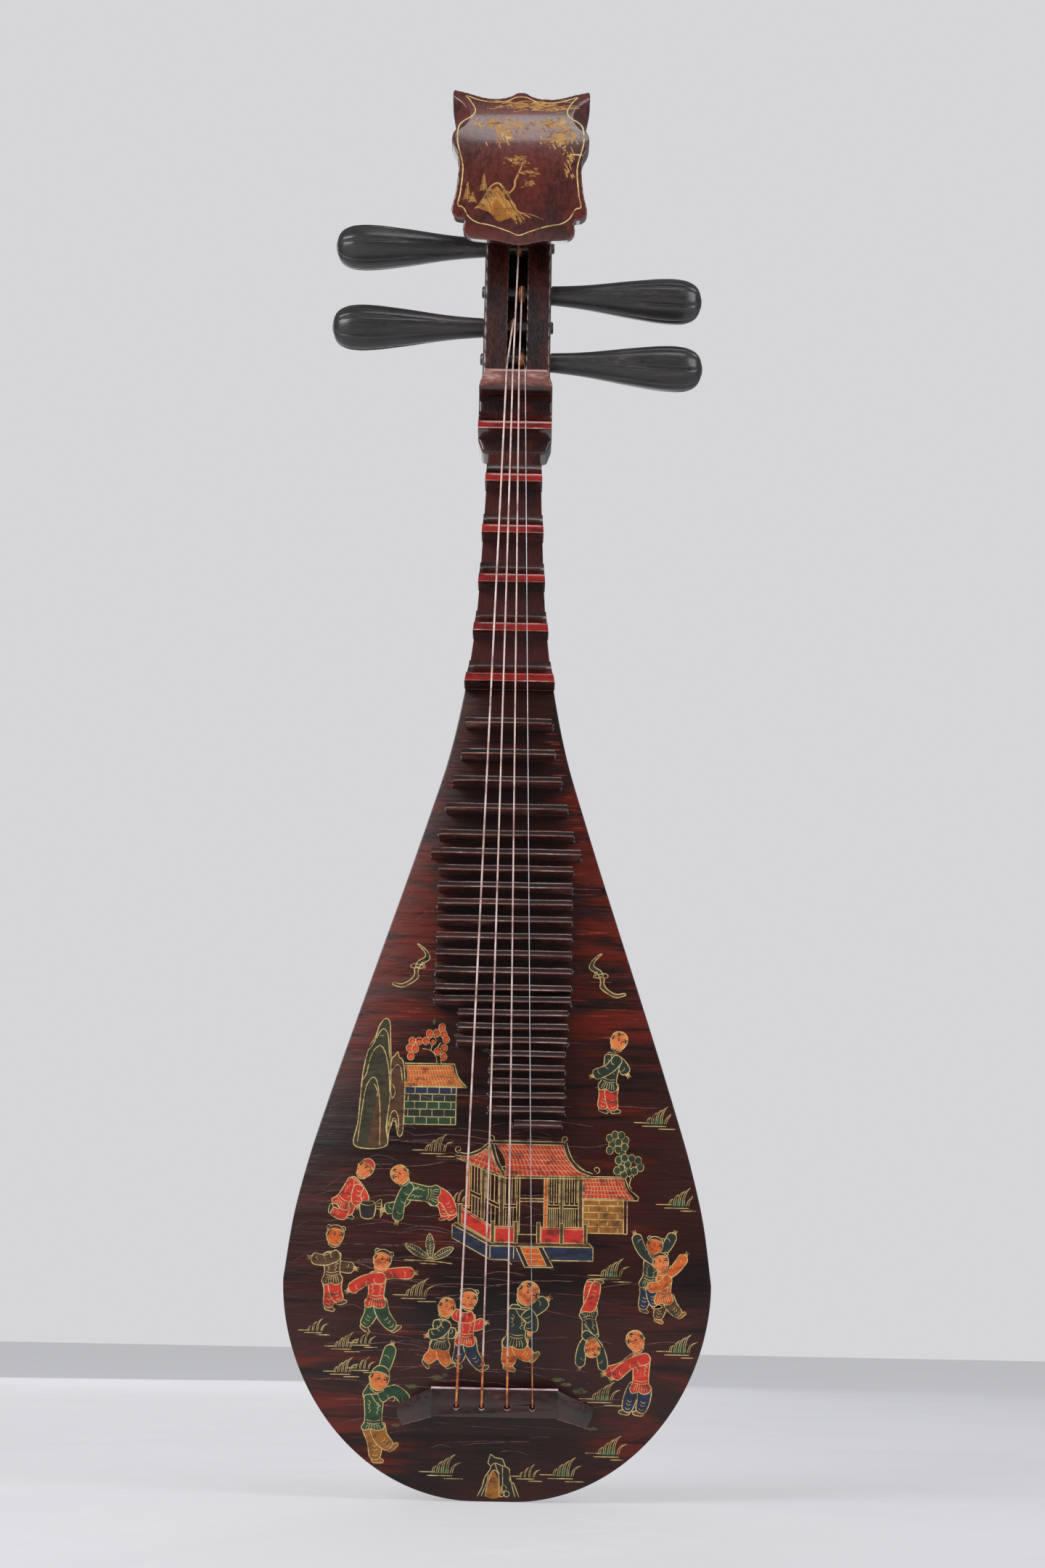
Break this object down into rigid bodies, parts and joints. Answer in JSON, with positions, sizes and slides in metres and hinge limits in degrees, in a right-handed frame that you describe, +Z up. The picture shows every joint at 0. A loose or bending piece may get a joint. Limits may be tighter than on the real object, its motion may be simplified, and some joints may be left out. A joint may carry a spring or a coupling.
{
  "type": "pear-shaped lute",
  "caption": "Upright pear-shaped lute with a lacquered painted soundboard, fretted neck, shield-shaped headpiece, and turning tuning pegs.",
  "frame": {"origin": "centre of the flat at the bottom end", "axes": "+Z up along the strings towards the head, -Y out of the soundboard, +X to the thinnest string's side"},
  "size_m": [0.284, 0.084, 1.013],
  "materials": {
    "red_lacquered_wood": "glossy worn lacquer",
    "dark_lacquered_board": "glossy lacquer with painted and gilded figures",
    "bare_wood": "bare",
    "red_lacquered_fret": "glossy lacquer, worn on the playing edge",
    "dark_lacquered_fret": "glossy lacquer",
    "bone": "polished",
    "black_peg_wood": "satin",
    "orange_cord": "twisted",
    "wound_string": "wound, faintly pink",
    "steel_string": "polished"
  },
  "bodies": {
    "root": {"back_shell": "red_lacquered_wood", "soundboard": "dark_lacquered_board", "upper_sound_bar": "bare_wood", "lower_sound_bar": "bare_wood", "sound_post_1": "bare_wood", "sound_post_2": "bare_wood", "sound_post_3": "bare_wood", "pegbox": "red_lacquered_wood", "head_crook": "red_lacquered_wood", "headpiece": "red_lacquered_wood", "nut": "red_lacquered_wood", "neck_fret_1": "red_lacquered_fret", "neck_fret_2": "red_lacquered_fret", "neck_fret_3": "red_lacquered_fret", "neck_fret_4": "red_lacquered_fret", "neck_fret_5": "red_lacquered_fret", "neck_fret_6": "red_lacquered_fret", "body_fret_01": "dark_lacquered_fret", "body_fret_02": "dark_lacquered_fret", "body_fret_03": "dark_lacquered_fret", "body_fret_04": "dark_lacquered_fret", "body_fret_05": "dark_lacquered_fret", "body_fret_06": "dark_lacquered_fret", "body_fret_07": "dark_lacquered_fret", "body_fret_08": "dark_lacquered_fret", "body_fret_09": "dark_lacquered_fret", "body_fret_10": "dark_lacquered_fret", "body_fret_11": "dark_lacquered_fret", "body_fret_12": "dark_lacquered_fret", "body_fret_13": "dark_lacquered_fret", "body_fret_14": "dark_lacquered_fret", "body_fret_15": "dark_lacquered_fret", "body_fret_16": "dark_lacquered_fret", "body_fret_17": "dark_lacquered_fret", "body_fret_18": "dark_lacquered_fret", "body_fret_19": "dark_lacquered_fret", "body_fret_20": "dark_lacquered_fret", "body_fret_21": "dark_lacquered_fret", "body_fret_22": "dark_lacquered_fret", "body_fret_23": "dark_lacquered_fret", "body_fret_24": "dark_lacquered_fret", "bridge": "dark_lacquered_board", "bridge_edge": "bone", "string_1": "wound_string", "string_2": "wound_string", "string_3": "wound_string", "string_4": "steel_string"},
    "tuning_peg_1": {"peg_1": "black_peg_wood", "winding_1": "orange_cord"},
    "tuning_peg_2": {"peg_2": "black_peg_wood", "winding_2": "orange_cord"},
    "tuning_peg_3": {"peg_3": "black_peg_wood", "winding_3": "orange_cord"},
    "tuning_peg_4": {"peg_4": "black_peg_wood", "winding_4": "orange_cord"}
  },
  "joints": [
    {"name": "peg_1_turn", "type": "hinge", "parent": "root", "child": "tuning_peg_1", "pos_m": [0, 0.00587, 0.836], "axis": [-0.9998, 0, -0.0175], "continuous": true},
    {"name": "peg_2_turn", "type": "hinge", "parent": "root", "child": "tuning_peg_2", "pos_m": [0, 0.01191, 0.905], "axis": [-0.9998, 0, -0.0175], "continuous": true},
    {"name": "peg_3_turn", "type": "hinge", "parent": "root", "child": "tuning_peg_3", "pos_m": [0, 0.00841, 0.865], "axis": [0.9994, 0, -0.0349], "continuous": true},
    {"name": "peg_4_turn", "type": "hinge", "parent": "root", "child": "tuning_peg_4", "pos_m": [0, 0.00343, 0.808], "axis": [0.9994, 0, -0.0349], "continuous": true}
  ]
}
